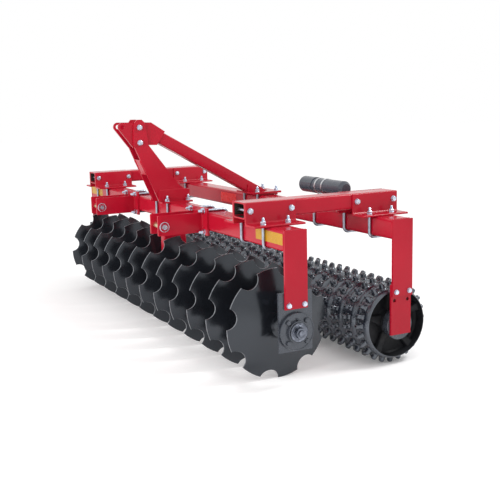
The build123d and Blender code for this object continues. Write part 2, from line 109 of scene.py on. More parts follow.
# Brace, in metres: its head by the top link, its foot on the rear beam
BRACE_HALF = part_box("brace")[1][0]
HEAD_BACK, HEAD_DROP = 0.202, 0.0485  # from the top link's bore
BRACE_HEAD = Vector((0, TOP_LINK.y + HEAD_BACK, TOP_LINK.z - HEAD_DROP))
BRACE_BACK = 0.002  # where its middle line meets the beam's top, behind the beam's middle
BRACE_RUN = (Vector((0, REAR_Y + BRACE_BACK, BEAM_TOP)) - BRACE_HEAD).normalized()
PACKING, FOOT = 0.012, 0.012  # thickness of the foot's packing plate and flange
FOOT_Z = BEAM_TOP + PACKING + FOOT  # top of the foot's flange


# Camera, solved from the photograph. PX means pixels of the 500 x 500 picture
CAM_POS = Vector((4.7042, FRONT_Y - 1.9157, 1.3264))
YAW, PITCH, ROLL = math.radians(62.96), math.radians(9.72), math.radians(-1.45)
FOCAL_PX, CENTRE_PX, SIDE_PX = 829.87, (243.92, 246.40), 500.0
SENSOR = 36.0  # millimetres


def make_camera():
    """The camera that took the photograph, with its lens shifted to the picture's centre."""
    look = Vector((-math.sin(YAW) * math.cos(PITCH), math.cos(YAW) * math.cos(PITCH), -math.sin(PITCH)))
    level = Vector((math.cos(YAW), math.sin(YAW), 0.0))
    upright = level.cross(look)
    right = math.cos(ROLL) * level + math.sin(ROLL) * upright
    up = -math.sin(ROLL) * level + math.cos(ROLL) * upright
    data = bpy.data.cameras.new("camera")
    data.sensor_fit = "HORIZONTAL"
    data.sensor_width = SENSOR
    data.lens = FOCAL_PX / SIDE_PX * SENSOR
    data.shift_x = (SIDE_PX / 2 - CENTRE_PX[0]) / SIDE_PX
    data.shift_y = (CENTRE_PX[1] - SIDE_PX / 2) / SIDE_PX
    data.clip_end = 100.0
    camera = bpy.data.objects.new("camera", data)
    scene.collection.objects.link(camera)
    turn = Matrix((right, up, -look)).transposed().to_4x4()
    camera.matrix_world = Matrix.Translation(CAM_POS) @ turn
    scene.camera = camera


# Light: a white studio, a soft key from behind the near end and a fill from the front
KEY = {"place": (2.6, 3.3, 4.8), "aim": (0.4, 0.0, 0.4), "size": 1.2, "power": 130.0, "mirrored": True}
FILL = {"place": (1.8, -5.2, 2.2), "aim": (0.0, 0.0, 0.6), "size": 3.0, "power": 170.0, "mirrored": False}
WORLD_LIGHT, BACKDROP = 0.92, 1.0

# Floor: its glow makes up for the lamps' light, which falls off outwards
FLOOR_WHITE = (0.97, 0.96, 0.96)
FLOOR_REACH = 30.0
NEAR_GLOW, FAR_GLOW, GLOW_REACH = 0.07, 0.13, (1.2, 3.4)


def make_world():
    """White light from all round, and plain white wherever the world is seen or mirrored."""
    scene.view_settings.view_transform = "Standard"
    world = bpy.data.worlds.new("studio")
    scene.world = world
    world.use_nodes = True
    tree = world.node_tree
    tree.nodes.clear()
    path = tree.nodes.new("ShaderNodeLightPath")
    seen = path.outputs["Is Camera Ray"]
    for kind in ("Is Glossy Ray", "Is Transmission Ray"):
        either = tree.nodes.new("ShaderNodeMath")
        either.operation = "MAXIMUM"
        tree.links.new(seen, either.inputs[0])
        tree.links.new(path.outputs[kind], either.inputs[1])
        seen = either.outputs[0]
    mix = tree.nodes.new("ShaderNodeMixShader")
    tree.links.new(seen, mix.inputs[0])
    for socket, strength in ((1, WORLD_LIGHT), (2, BACKDROP)):
        light = tree.nodes.new("ShaderNodeBackground")
        light.inputs["Color"].default_value = (1.0, 1.0, 1.0, 1.0)
        light.inputs["Strength"].default_value = strength
        tree.links.new(light.outputs[0], mix.inputs[socket])
    out = tree.nodes.new("ShaderNodeOutputWorld")
    tree.links.new(mix.outputs[0], out.inputs["Surface"])


def make_lamps():
    """Square area lamps. One that isn't mirrored leaves no white patch in the gloss."""
    for name, lamp in (("key", KEY), ("fill", FILL)):
        data = bpy.data.lights.new(name, "AREA")
        data.shape = "SQUARE"
        data.size = lamp["size"]
        data.energy = lamp["power"]
        ob = bpy.data.objects.new(name, data)
        scene.collection.objects.link(ob)
        ob.visible_glossy = lamp["mirrored"]
        ob.location = lamp["place"]
        aim = Vector(lamp["aim"]) - Vector(lamp["place"])
        ob.rotation_euler = aim.to_track_quat("-Z", "Y").to_euler()


def make_floor():
    """A wide white floor with a faint glow that only the camera sees."""
    data = bpy.data.meshes.new("floor")
    corners = [(x * FLOOR_REACH, y * FLOOR_REACH, 0) for x, y in ((-1, -1), (1, -1), (1, 1), (-1, 1))]
    data.from_pydata(corners, [], [(0, 1, 2, 3)])
    floor = bpy.data.objects.new("floor", data)
    scene.collection.objects.link(floor)
    paint = bpy.data.materials.new("floor")
    paint.use_nodes = True
    tree = paint.node_tree
    shader = tree.nodes["Principled BSDF"]
    shader.inputs["Base Color"].default_value = (*FLOOR_WHITE, 1)
    shader.inputs["Roughness"].default_value = 0.9
    shader.inputs["Specular IOR Level"].default_value = 0.0
    shader.inputs["Emission Color"].default_value = (1, 1, 1, 1)
    path = tree.nodes.new("ShaderNodeLightPath")
    coords = tree.nodes.new("ShaderNodeTexCoord")
    distance = tree.nodes.new("ShaderNodeVectorMath")
    distance.operation = "LENGTH"
    tree.links.new(coords.outputs["Object"], distance.inputs[0])
    level = spread(tree, distance.outputs["Value"], NEAR_GLOW, FAR_GLOW, *GLOW_REACH)
    glow = tree.nodes.new("ShaderNodeMath")
    glow.operation = "MULTIPLY"
    tree.links.new(path.outputs["Is Camera Ray"], glow.inputs[0])
    tree.links.new(level, glow.inputs[1])
    tree.links.new(glow.outputs[0], shader.inputs["Emission Strength"])
    data.materials.append(paint)


# Materials: the scales of their noises, in cells per metre
PAINT_DRIFT, PAINT_CLOUD, PAINT_DUST, PEEL_WIDE, PEEL_FINE = 3.0, 24.0, 260.0, 8.0, 320.0
CAST_DRIFT, CAST_CLOUD, CAST_LUMP, CAST_GRAIN = 18.0, 40.0, 45.0, 300.0
METAL_DRIFT, METAL_CLOUD, METAL_SCRATCH = 60.0, 150.0, 500.0


def noise(tree, scale, detail=4.0):
    """Noise over the object's own space."""
    coords = tree.nodes.new("ShaderNodeTexCoord")
    texture = tree.nodes.new("ShaderNodeTexNoise")
    texture.inputs["Scale"].default_value = scale
    texture.inputs["Detail"].default_value = detail
    tree.links.new(coords.outputs["Object"], texture.inputs["Vector"])
    return texture.outputs["Fac"]


def spread(tree, value, low, high, start=0.3, stop=0.7):
    """A value from start to stop, spread over low to high."""
    node = tree.nodes.new("ShaderNodeMapRange")
    node.inputs["From Min"].default_value = start
    node.inputs["From Max"].default_value = stop
    node.inputs["To Min"].default_value = low
    node.inputs["To Max"].default_value = high
    tree.links.new(value, node.inputs["Value"])
    return node.outputs["Result"]


def blend_colours(tree, factor, first, second):
    """Mixes two colours, each a fixed one or another node's output."""
    node = tree.nodes.new("ShaderNodeMix")
    node.data_type = "RGBA"
    first_socket, second_socket, result = node.inputs[6], node.inputs[7], node.outputs[2]
    for socket, colour in ((first_socket, first), (second_socket, second)):
        if isinstance(colour, tuple):
            socket.default_value = (*colour, 1)
        else:
            tree.links.new(colour, socket)
    tree.links.new(factor, node.inputs[0])
    return result


def bump(tree, shader, heights, distance):
    """Sums noise heights into one bump on the shader."""
    normal = None
    for height, strength in heights:
        node = tree.nodes.new("ShaderNodeBump")
        node.inputs["Strength"].default_value = strength
        node.inputs["Distance"].default_value = distance
        tree.links.new(height, node.inputs["Height"])
        if normal:
            tree.links.new(normal, node.inputs["Normal"])
        normal = node.outputs["Normal"]
    tree.links.new(normal, shader.inputs["Normal"])


def new_material(name, metallic=0.0, specular=0.5, index=1.5, tint=(1.0, 1.0, 1.0)):
    """A material with the constant values of its shader set."""
    material = bpy.data.materials.new(name)
    material.use_nodes = True
    shader = material.node_tree.nodes["Principled BSDF"]
    shader.inputs["Metallic"].default_value = metallic
    shader.inputs["Specular IOR Level"].default_value = specular
    shader.inputs["IOR"].default_value = index
    shader.inputs["Specular Tint"].default_value = (*tint, 1)
    return material, material.node_tree, shader


def painted(name, dark, light, gloss, peel=0.05, dust=(0.30, 0.28, 0.26), dust_share=0.04, **shine):
    """Enamel: slow colour drift, orange peel and a little dust in the fine noise."""
    material, tree, shader = new_material(name, **shine)
    drift = spread(tree, noise(tree, PAINT_DRIFT), 0.0, 1.0)
    specks = spread(tree, noise(tree, PAINT_DUST, detail=2.0), 0.0, dust_share, start=0.60, stop=0.75)
    colour = blend_colours(tree, specks, blend_colours(tree, drift, dark, light), dust)
    tree.links.new(colour, shader.inputs["Base Color"])
    tree.links.new(spread(tree, noise(tree, PAINT_CLOUD), *gloss), shader.inputs["Roughness"])
    heights = ((noise(tree, PEEL_FINE, detail=1.0), peel), (noise(tree, PEEL_WIDE, detail=2.0), peel))
    bump(tree, shader, heights, distance=0.002)
    return material


def cast(name, dark, light, gloss, lumps, **shine):
    """Painted casting: lumpy skin with a finer grain on it."""
    material, tree, shader = new_material(name, **shine)
    colour = blend_colours(tree, spread(tree, noise(tree, CAST_DRIFT), 0.0, 1.0), dark, light)
    tree.links.new(colour, shader.inputs["Base Color"])
    tree.links.new(spread(tree, noise(tree, CAST_CLOUD), *gloss), shader.inputs["Roughness"])
    heights = ((noise(tree, CAST_LUMP, detail=3.0), lumps), (noise(tree, CAST_GRAIN, detail=2.0), 0.15))
    bump(tree, shader, heights, distance=0.004)
    return material


def metal(name, dark, light, gloss, scratch=0.1):
    """Bare or plated metal, clouded and finely scratched."""
    material, tree, shader = new_material(name, metallic=1.0)
    colour = blend_colours(tree, spread(tree, noise(tree, METAL_DRIFT), 0.0, 1.0), dark, light)
    tree.links.new(colour, shader.inputs["Base Color"])
    tree.links.new(spread(tree, noise(tree, METAL_CLOUD), *gloss), shader.inputs["Roughness"])
    bump(tree, shader, ((noise(tree, METAL_SCRATCH, detail=2.0), scratch),), distance=0.001)
    return material


def make_materials():
    """Every finish by name. Gloss is a range of roughness, and sky tints what black enamel mirrors."""
    sky = (0.84, 0.91, 1.0)
    return {
        "frame_paint": painted(
            "red_enamel", dark=(0.36, 0.0045, 0.018), light=(0.44, 0.007, 0.024), gloss=(0.15, 0.23),
            specular=0.24,
        ),
        "bearing_enamel": cast(
            "bearing_black", dark=(0.026, 0.029, 0.037), light=(0.044, 0.048, 0.059), gloss=(0.18, 0.34),
            lumps=0.14, index=1.75, tint=sky,
        ),
        "disc_steel": painted(
            "disc_black", dark=(0.0060, 0.0068, 0.0090), light=(0.0100, 0.0115, 0.0150), gloss=(0.15, 0.21),
            peel=0.025, dust=(0.10, 0.10, 0.11), dust_share=0.10, index=1.68, tint=sky,
        ),
        "axle_steel": metal(
            "worn_steel", dark=(0.085, 0.095, 0.115), light=(0.23, 0.25, 0.30), gloss=(0.24, 0.38),
            scratch=0.2,
        ),
        "roller_iron": cast(
            "roller_black", dark=(0.005, 0.006, 0.010), light=(0.016, 0.019, 0.029), gloss=(0.10, 0.30),
            lumps=0.34, index=2.15, tint=sky,
        ),
        # End rings' insides and spokes: the roller's black made darker as painted shade in the recess, and
        # rougher
        "roller_inside_shade": cast(
            "roller_inside_shade", dark=(0.004, 0.0045, 0.006), light=(0.010, 0.011, 0.014), gloss=(0.50, 0.70),
            lumps=0.2, specular=0.3,
        ),
        "zinc": metal(
            "zinc_plate", dark=(0.50, 0.57, 0.68), light=(0.74, 0.81, 0.92), gloss=(0.20, 0.34),
        ),
        "zinc_rod": metal(
            "zinc_rod", dark=(0.27, 0.30, 0.36), light=(0.46, 0.50, 0.58), gloss=(0.26, 0.40),
        ),
        "yellow_zinc": metal(
            "yellow_zinc", dark=(0.62, 0.58, 0.34), light=(0.80, 0.76, 0.50), gloss=(0.26, 0.40),
        ),
        "clamp_band": metal(
            "band_steel", dark=(0.55, 0.56, 0.58), light=(0.72, 0.73, 0.75), gloss=(0.28, 0.40),
        ),
        "ground_edge": metal(
            "ground_steel", dark=(0.17, 0.18, 0.20), light=(0.34, 0.35, 0.37), gloss=(0.30, 0.44),
        ),
        "canister_plastic": painted(
            "canister_grey", dark=(0.038, 0.043, 0.058), light=(0.060, 0.068, 0.088), gloss=(0.20, 0.30),
            peel=0.12, dust=(0.2, 0.2, 0.2), dust_share=0.05, specular=0.6,
        ),
        "yellow_film": painted(
            "yellow_film", dark=(0.41, 0.205, 0.009), light=(0.50, 0.26, 0.015), gloss=(0.24, 0.32),
            peel=0.03, specular=0.25,
        ),
        # Saturated red patch on the rear beam: painted reflection, where the glossy face mirrors something
        # dark instead of the white sky
        "red_reflection_patch": painted(
            "red_reflection_patch", dark=(0.62, 0.004, 0.006), light=(0.70, 0.006, 0.010), gloss=(0.24, 0.32),
            peel=0.03, specular=0.25,
        ),
        # Inside the rails: unpainted walls, with painted shade of the hollows in the dark colour
        "unpainted_and_shade": cast(
            "dark_unpainted_and_shade", dark=(0.020, 0.016, 0.014), light=(0.034, 0.026, 0.022), gloss=(0.60, 0.80),
            lumps=0.10, specular=0.2,
        ),
    }


def dress_nodes():
    """Gives each node of the frame the finish that its record names."""
    slots = {part["node"]: part["material_slot"] for part in frame["record"]["subparts"]}
    for name, ob in frame["nodes"].items():
        for slot in ob.material_slots:
            slot.material = looks[slots[name]]


# Mesh helpers
def along(origin, axis, side=(0, 0, 1)):
    """Matrix whose local Z is the axis and whose local X is nearest to side."""
    z = Vector(axis).normalized()
    x = Vector(side) - Vector(side).dot(z) * z
    x.normalize()
    turn = Matrix((x, z.cross(x), z)).transposed().to_4x4()
    return Matrix.Translation(Vector(origin)) @ turn


def axes(origin, x, y):
    """Matrix whose local X and Y are the given unit vectors."""
    x, y = Vector(x), Vector(y)
    return Matrix.Translation(Vector(origin)) @ Matrix((x, y, x.cross(y))).transposed().to_4x4()


def circle(place, radius, height, count):
    """A ring of points round the place's Z."""
    steps = [2 * math.pi * i / count for i in range(count)]
    return [place @ Vector((radius * math.cos(t), radius * math.sin(t), height)) for t in steps]


def arc(centre, start, stop, radius, u, v, count=8):
    """Points round a centre from one angle to another in the plane of u and v, in degrees."""
    out = []
    for i in range(count + 1):
        angle = math.radians(start + (stop - start) * i / count)
        out.append(Vector(centre) + radius * (math.cos(angle) * Vector(u) + math.sin(angle) * Vector(v)))
    return out


def rounded(corners, count=5):
    """Flat outline from corners of (x, y, radius)."""
    out = []
    for i, (x, y, radius) in enumerate(corners):
        point = Vector((x, y))
        if radius == 0:
            out.append(point)
            continue
        before = (Vector(corners[i - 1][:2]) - point).normalized()
        after = (Vector(corners[(i + 1) % len(corners)][:2]) - point).normalized()
        half = before.angle(after) / 2
        centre = point + (before + after).normalized() * radius / math.sin(half)
        start = point + before * radius / math.tan(half) - centre
        stop = point + after * radius / math.tan(half) - centre
        turn = start.angle_signed(stop)
        for k in range(count + 1):
            out.append(centre + Matrix.Rotation(-turn * k / count, 2) @ start)
    return out


def rectangle(left, right, low, high, corner):
    """Outline of a rectangle with four equal round corners."""
    return rounded([(left, low, corner), (right, low, corner), (right, high, corner), (left, high, corner)])


def skin(bm, rings, caps=True, loop=False, material=0):
    """Quads between equal rings of points, with end caps or closed in a loop."""
    rows = [[bm.verts.new(point) for point in ring] for ring in rings]
    pairs = list(zip(rows[:-1], rows[1:]))
    if loop:
        pairs.append((rows[-1], rows[0]))
    faces = []
    for near, far in pairs:
        for i in range(len(near)):
            j = (i + 1) % len(near)
            faces.append(bm.faces.new((near[i], near[j], far[j], far[i])))
    if caps and not loop:
        faces.append(bm.faces.new(rows[0][::-1]))
        faces.append(bm.faces.new(rows[-1]))
    for face in faces:
        face.material_index = material


def slab(bm, outline, place, start, stop, bevel=0.001):
    """A plate over an outline in the place's XY, with eased edges at both faces."""
    total = len(outline)
    turning = sum(outline[i - 1].x * outline[i].y - outline[i].x * outline[i - 1].y for i in range(total))
    inward = 1 if turning > 0 else -1
    eased = []
    for i in range(total):
        run = (outline[(i + 1) % total] - outline[i - 1]).normalized()
        eased.append(outline[i] + inward * bevel * Vector((-run.y, run.x)))
    rings = ((eased, start), (outline, start + bevel), (outline, stop - bevel), (eased, stop))
    skin(bm, [[place @ Vector((p.x, p.y, z)) for p in points] for points, z in rings])


def lathe(bm, place, profile, count, loop=False):
    """Turns a profile of (height, radius) round the place's Z, with count points to a ring."""
    skin(bm, [circle(place, radius, height, count) for height, radius in profile], loop=loop)


def tube(bm, points, radii, count, material=0):
    """A round rod along a list of points, with a radius at each."""
    last = len(points) - 1
    rings = []
    side = None
    for i, (point, radius) in enumerate(zip(points, radii)):
        direction = (points[min(i + 1, last)] - points[max(i - 1, 0)]).normalized()
        if side is None:
            side = direction.orthogonal().normalized()
        side = (side - side.dot(direction) * direction).normalized()
        rings.append(circle(along(point, direction, side), radius, 0.0, count))
    skin(bm, rings, material=material)


def hexagon(bm, place, across, height, start):
    """A hexagon with its corners chamfered at both ends, from start up the place's Z."""
    radius, shrunk = across / math.sqrt(3), 0.90
    chamfer, stop = 0.10 * height, start + height
    rings = ((start, shrunk), (start + chamfer, 1.0), (stop - chamfer, 1.0), (stop, shrunk))
    skin(bm, [circle(place, radius * share, level, 6) for level, share in rings])


def washer(bm, place, radius, thickness=WASHER):
    """A washer with eased edges, standing on the place's Z."""
    eased = 0.96 * radius
    profile = ((0, eased), (0.3 * thickness, radius), (0.7 * thickness, radius), (thickness, eased))
    lathe(bm, place, profile, 28)


def bolt_head(bm, place, size=1.0):
    """Washer and hexagon head with a shallow dome, standing on the place's Z."""
    rim, across, height = 0.0150 * size, 0.0240 * size, 0.009 * size
    top = WASHER + height
    washer(bm, place, rim)
    hexagon(bm, place, across, height, WASHER)
    dome = ((top - 0.001, 0.0100 * size), (top + 0.0006, 0.0085 * size), (top + 0.0012, 0.0050 * size))
    lathe(bm, place, dome, 20)


def nut(bm, place, rod=ROD, tip=0.018):
    """Washer, nut and the threaded tip past it, standing on the place's Z."""
    rim, across, height, root = 2.0 * rod, 3.1 * rod, 1.7 * rod, 0.86 * rod
    top = WASHER + height
    washer(bm, place, rim)
    hexagon(bm, place, across, height, WASHER)
    turns = 6
    pitch = 0.8 * tip / turns
    profile = [(top - 0.001, 0.92 * rod)]
    for i in range(turns):
        level = top + i * pitch
        profile += [(level, root), (level + pitch / 2, rod)]
    profile += [(top + 0.82 * tip, root), (top + tip, 0.60 * rod)]
    lathe(bm, place, profile, 20)


def finish_piece(name, bm, materials, body="frame", angle=35.0):
    """Turns the mesh into a smooth-shaded piece that rides on its body."""
    bmesh.ops.recalc_face_normals(bm, faces=bm.faces)
    data = bpy.data.meshes.new(name)
    bm.to_mesh(data)
    bm.free()
    for material in materials:
        data.materials.append(looks[material])
    data.shade_smooth()
    data.set_sharp_from_angle(angle=math.radians(angle))
    piece = bpy.data.objects.new(name, data)
    scene.collection.objects.link(piece)
    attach(piece, body)
    return piece


# Disc gang
DISC_CURVE = 1.12  # above 1, the dish steepens towards the rim
DISC_BEVEL = 0.001  # eased edge of the rim
DISC_SHARES = (0.16, 0.26, 0.285, 0.34, 0.45, 0.56, 0.68, 0.80, 0.90, 0.96)  # from the bore to the rim


def disc_outline():
    """Angle and radius of the notched rim, once round."""
    out = []
    pitch = 2 * math.pi / NOTCH_COUNT
    reach = (DISC_RADIUS**2 + NOTCH_CENTRE**2 - NOTCH_RADIUS**2) / (2 * DISC_RADIUS * NOTCH_CENTRE)
    half = math.acos(reach)
    corner = math.atan2(DISC_RADIUS * math.sin(half), DISC_RADIUS * math.cos(half) - NOTCH_CENTRE)
    notch_steps, rim_steps = 16, 10
    for i in range(NOTCH_COUNT):
        middle = NOTCH_PHASE + i * pitch
        for k in range(notch_steps + 1):
            t = 2 * math.pi - corner + (2 * corner - 2 * math.pi) * k / notch_steps
            x = NOTCH_CENTRE + NOTCH_RADIUS * math.cos(t)
            y = NOTCH_RADIUS * math.sin(t)
            out.append((middle + math.atan2(y, x), math.hypot(x, y)))
        for k in range(1, rim_steps):
            out.append((middle + half + (pitch - 2 * half) * k / rim_steps, DISC_RADIUS))
    return out


def dish(radius):
    """Place along X of the disc's middle surface at a radius: 0 in the flat middle, negative outwards."""
    share = max(0.0, (radius - DISC_FLAT) / (DISC_RADIUS - DISC_FLAT))
    return -DISC_DISH * share**DISC_CURVE


def disc_ring(outline, hub, share, side, inset=0.0):
    """The outline shrunk to a share, but not inside the bore, at a distance from the middle surface."""
    out = []
    for angle, edge in outline:
        radius = edge - inset if share == 1 else max(share * edge, DISC_SHARES[0] * DISC_RADIUS)
        x = dish(min(radius, DISC_RADIUS)) + side
        out.append(hub + Vector((x, radius * math.cos(angle), radius * math.sin(angle))))
    return out


def make_discs():
    """Dished, notched discs with a ground edge. Returns the first disc's place and the pitch."""
    low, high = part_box("discs")
    half = DISC_THICKNESS / 2
    first = low[0] + DISC_DISH + half
    pitch = (high[0] - half - first) / (DISC_COUNT - 1)
    outline = disc_outline()
    bm = bmesh.new()
    for i in range(DISC_COUNT):
        hub = Vector((first + i * pitch, AXLE.y, AXLE.z))
        bulged = [disc_ring(outline, hub, share, half) for share in DISC_SHARES]
        hollow = [disc_ring(outline, hub, share, -half) for share in DISC_SHARES]
        eased = disc_ring(outline, hub, 1, half, DISC_BEVEL)
        rim = disc_ring(outline, hub, 1, half - DISC_BEVEL)
        edge = disc_ring(outline, hub, 1, -half)
        skin(bm, bulged + [eased], caps=False)
        skin(bm, hollow + [edge], caps=False)
        skin(bm, [eased, rim, edge], caps=False, material=1)
        skin(bm, [bulged[0], hollow[0]], caps=False)
    bmesh.ops.remove_doubles(bm, verts=bm.verts, dist=0.00002)
    discs = finish_piece("notched_discs", bm, ["disc_steel", "ground_edge"], "disc_gang", angle=30.0)
    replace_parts(discs, "discs")
    return first, pitch


def make_spools(first, pitch):
    """Turned spools between the discs, with rounded flanges."""
    bore, waist, flange = 0.0235, 0.036, 0.062  # radii
    rim, easing = 0.007, (0.002, 0.003)  # the flange's thickness and its eased edge
    middle_face = 0.028  # of the spools beside the middle bearing, from the machine's middle
    half = DISC_THICKNESS / 2
    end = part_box("spools")[1][0]
    hubs = [first + i * pitch for i in range(DISC_COUNT)]
    spans = [(-end, hubs[0] - half)]
    for left, right in zip(hubs[:-1], hubs[1:]):
        if left < 0 < right:
            spans += [(left + half, -middle_face), (middle_face, right - half)]
        else:
            spans.append((left + half, right - half))
    spans.append((hubs[-1] + half, end))
    bm = bmesh.new()
    for start, stop in spans:
        length = stop - start
        rise = min(0.018, 0.35 * length)  # length of the curve from the flange to the waist
        profile = [(0, bore), (0, flange - easing[1]), (easing[0], flange), (rim, flange)]
        for t in (0.25, 0.5, 0.75, 1):
            profile.append((rim + rise * t, flange + (waist - flange) * (1 - (1 - t) ** 2)))
        profile += [(length - level, radius) for level, radius in reversed(profile)]
        lathe(bm, along((start, AXLE.y, AXLE.z), (1, 0, 0)), profile, 40, loop=True)
    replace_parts(finish_piece("turned_spools", bm, ["disc_steel"], "disc_gang"), "spools")


# Roller
RING_BORE = 0.043  # radius of the hole for the axle


def barrel(half_width):
    """Outer profile of a ring: a crown that falls to both edges, and a shallow bed for the spikes."""
    bed_half, bed_depth = 0.018, 0.003
    crown_start, crown_fall, crown_curve = 0.024, 0.012, 2.3
    steps = 5
    out = []
    for side in SIDES:
        curve = [(side * bed_half, RIM_RADIUS - bed_depth)]
        for k in range(steps + 1):
            share = k / steps
            level = crown_start + (half_width - crown_start) * share
            curve.append((side * level, RIM_RADIUS - crown_fall * share**crown_curve))
        out += curve if side > 0 else curve[::-1]
    return out


def spike(bm, place):
    """One spike on the rim: a stout post with a rounded head."""
    stations = (
        # share of the height, share of the width
        (-0.12, 1.40), (0.02, 1.16), (0.14, 1.02), (0.35, 0.95), (0.58, 0.92), (0.76, 0.86), (0.89, 0.72),
        (0.97, 0.48), (1.0, 0.20),
    )
    height = SPIKE_TIP - RIM_RADIUS
    half_round, half_along = 0.0135, 0.0175  # half of its width round the rim and along the axle
    points, roundness = 14, 0.8  # below 1, its section is fuller than an ellipse
    rings = []
    for level, share in stations:
        ring = []
        for k in range(points):
            t = 2 * math.pi * k / points
            u = half_round * share * math.copysign(abs(math.cos(t)) ** roundness, math.cos(t))
            v = half_along * share * math.copysign(abs(math.sin(t)) ** roundness, math.sin(t))
            ring.append(place @ Vector((RIM_RADIUS + level * height, u, v)))
        rings.append(ring)
    skin(bm, rings)


def spoke(bm, centre, angle, foot, outer_side):
    """A broad flat spoke from the hub to the rim, standing on the web."""
    outward = Vector((0, math.cos(angle), math.sin(angle)))
    across = Vector((0, -math.sin(angle), math.cos(angle)))
    stations = (
        # radius, half width, height
        (RING_HUB - 0.006, 0.026, 0.024), (0.105, 0.017, 0.020),
        (0.135, 0.016, 0.022), (RIM_INNER + 0.004, 0.024, 0.036),
    )
    sunk = -0.004  # the spoke's root is sunk in the web
    rings = []
    for radius, half, height in stations:
        corners = (
            (sunk, -1.2 * half), (sunk, 1.2 * half), (0.85 * height, half),
            (height, 0.8 * half), (height, -0.8 * half), (0.85 * height, -half),
        )
        base = centre + outward * radius
        ring = []
        for level, y in corners:
            ring.append(base + Vector((foot + outer_side * level, 0, 0)) + across * y)
        rings.append(ring)
    # Slot 1 is the darker inside finish: painted shade in the recess
    skin(bm, rings, material=1)


def open_ring(bm, centre, half_width, outer_side):
    """An end ring's shell and web, open on its outer side round a hub and its spokes."""
    web = half_width - RING_RECESS
    hub_top, hub_face = web + 0.030, web + 0.033
    fillet, draft, easing, lip, chamfer = 0.008, 0.004, 0.002, 0.001, 0.006
    rim = (half_width, RIM_INNER + lip)
    shell = [(-half_width, RING_BORE)] + barrel(half_width) + [rim]
    inside = [
        rim, (half_width - easing, RIM_INNER), (web + fillet, RIM_INNER - draft),
        (web, RIM_INNER - draft - fillet), (web, RING_HUB + fillet), (web + fillet, RING_HUB),
        (hub_top, RING_HUB - easing), (hub_face, RING_HUB - chamfer), (hub_face, RING_BORE),
        (-half_width, RING_BORE),
    ]
    place = along(centre, (1, 0, 0))
    # Slot 1, the inside, takes the darker finish: painted shade in the recess
    for profile, material in ((shell, 0), (inside, 1)):
        rings = [circle(place, radius, outer_side * level, 96) for level, radius in profile]
        skin(bm, rings, caps=False, material=material)
    spokes, phase = 5, math.radians(-50)
    for i in range(spokes):
        spoke(bm, centre, 2 * math.pi * i / spokes + phase, outer_side * web, outer_side)


def ring_solid(bm, middle, half_width, turn, outer_side):
    """One ring with its spikes, a closed inner one where its outer side is 0."""
    centre = Vector((middle, ROLLER.y, ROLLER.z))
    place = along(centre, (1, 0, 0))
    if outer_side:
        open_ring(bm, centre, half_width, outer_side)
    else:
        profile = [(-half_width, RING_BORE)] + barrel(half_width) + [(half_width, RING_BORE)]
        lathe(bm, place, profile, 72, loop=True)
    for i in range(SPIKE_COUNT):
        spike(bm, place @ Matrix.Rotation(2 * math.pi * i / SPIKE_COUNT + turn, 4, "Z"))


def make_roller():
    """Spiked rings side by side, every second one turned by half the spikes' pitch."""
    low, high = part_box("roller_end_rings")
    pitch = (high[0] - low[0] + RING_GAP) / RING_COUNT
    half_width = (pitch - RING_GAP) / 2
    last = RING_COUNT - 1
    outer_sides = {0: -1, last: 1}
    for name, node, members in (
        ("spiked_rings", "roller_rings", range(1, last)),
        ("spiked_end_rings", "roller_end_rings", (0, last)),
    ):
        bm = bmesh.new()
        for i in members:
            middle = low[0] - RING_GAP / 2 + (i + 0.5) * pitch
            turn = math.pi + i % 2 * math.pi / SPIKE_COUNT
            ring_solid(bm, middle, half_width, turn, outer_sides.get(i, 0))
        bmesh.ops.remove_doubles(bm, verts=bm.verts, dist=0.00001)
        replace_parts(finish_piece(name, bm, ["roller_iron", "roller_inside_shade"], "roller", angle=40.0), node)


# Frame pieces finer than their solids
def make_rail_angles():
    """Rolled angles at the rails' sides, with a filleted root and round toes."""
    width = 0.102  # of the flange, from the rail's side
    height = RAIL_HIGH - BEAM_TOP
    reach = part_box("rail_angles")[1][1] - REAR_Y
    heel, toe, tip, root = 0.003, 0.005, 0.002, 0.010
    profile = rounded([
        (0, 0, heel), (width, 0, tip), (width, FLANGE, toe), (FLANGE, FLANGE, root), (FLANGE, height, toe),
        (0, height, 0),
    ])
    bm = bmesh.new()
    for y in BEAMS:
        for middle in RAILS:
            for side in SIDES:
                place = axes((middle + side * RAIL_HALF, y, BEAM_TOP), (side, 0, 0), (0, 0, 1))
                slab(bm, profile, place, -reach, reach)
    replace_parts(finish_piece("rolled_angles", bm, ["frame_paint"]), "rail_angles")


def make_clevis_cheeks():
    """Cheeks with nearly square corners, a little shorter at the tip than the solids."""
    low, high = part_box("clevis_cheeks")
    tip, root = low[1] + 0.012, high[1]
    tip_corner, root_corner = 0.006, 0.001
    outline = rounded([
        (tip, low[2], tip_corner), (root, low[2], root_corner), (root, high[2], root_corner),
        (tip, high[2], tip_corner),
    ])
    bm = bmesh.new()
    for middle in HITCHES:
        for side in SIDES:
            place = axes((middle + side * CHEEK_GAP, 0, 0), (0, 1, 0), (0, 0, 1))
            start, stop = sorted((0, side * PLATE))
            slab(bm, outline, place, start, stop)
    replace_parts(finish_piece("square_cheeks", bm, ["frame_paint"]), "clevis_cheeks")


def make_rail_hollows():
    """Dark sheets inside the open rails: their unpainted walls, darkened further as painted shade in the
    hollows.
    """
    wall, gap, film = 0.007, 0.0004, 0.0003
    setback = 0.004  # from the rails' open ends
    low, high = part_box("rails")
    start, stop = low[1] + setback, high[1] - setback

    def section(inset):
        """Corners of the hollow in X and Z, at an inset from the rail's outside."""
        wide, bottom, top = RAIL_HALF - inset, RAIL_LOW + inset, RAIL_HIGH - inset
        return ((-wide, bottom), (wide, bottom), (wide, top), (-wide, top))

    outer, inner = section(wall + gap), section(wall + gap + film)
    bm = bmesh.new()
    for middle in RAILS:
        stations = ((outer, start), (outer, stop), (inner, stop), (inner, start))
        skin(bm, [[Vector((middle + x, y, z)) for x, z in shape] for shape, y in stations], loop=True)
    finish_piece("rail_hollows", bm, ["unpainted_and_shade"])


